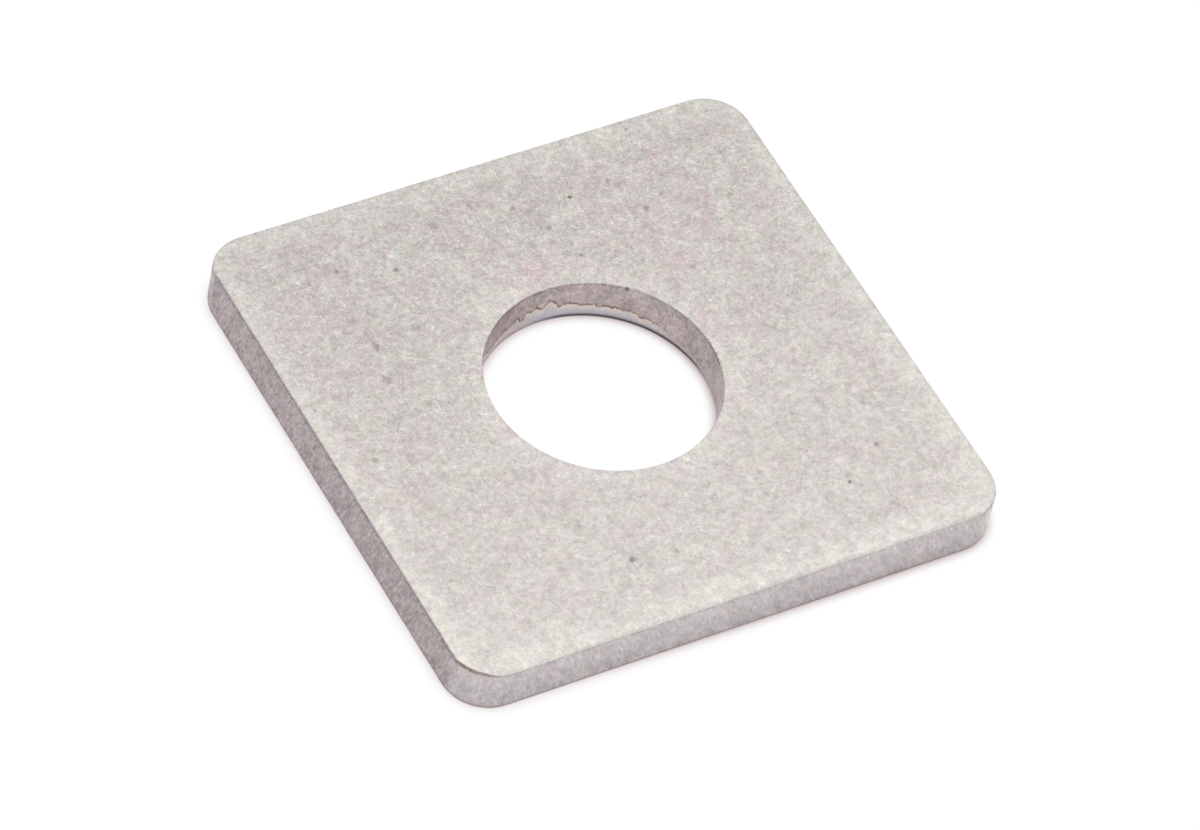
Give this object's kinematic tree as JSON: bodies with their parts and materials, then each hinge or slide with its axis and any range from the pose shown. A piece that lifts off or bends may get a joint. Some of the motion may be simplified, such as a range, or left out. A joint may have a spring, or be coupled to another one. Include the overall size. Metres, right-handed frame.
{
  "type": "square plate washer",
  "caption": "Square stamped steel plate washer, one side 1 mm shorter than the other, with rounded corners and a central punched bolt hole, used to spread the load of a bolt head or nut.",
  "frame": {"origin": "middle of the underside, on the axis of the bolt hole", "axes": "+Z along the bolt hole, from the underside to the face that the punch entered; +X and +Y square to the sides"},
  "size_m": [0.035, 0.034, 0.003],
  "materials": {
    "tumbled_stainless": "tumbled and pickled matt stainless steel with fine hair scratches, faint mottling and small dark pits"
  },
  "bodies": {
    "root": {"washer_plate": "tumbled_stainless"}
  },
  "joints": []
}
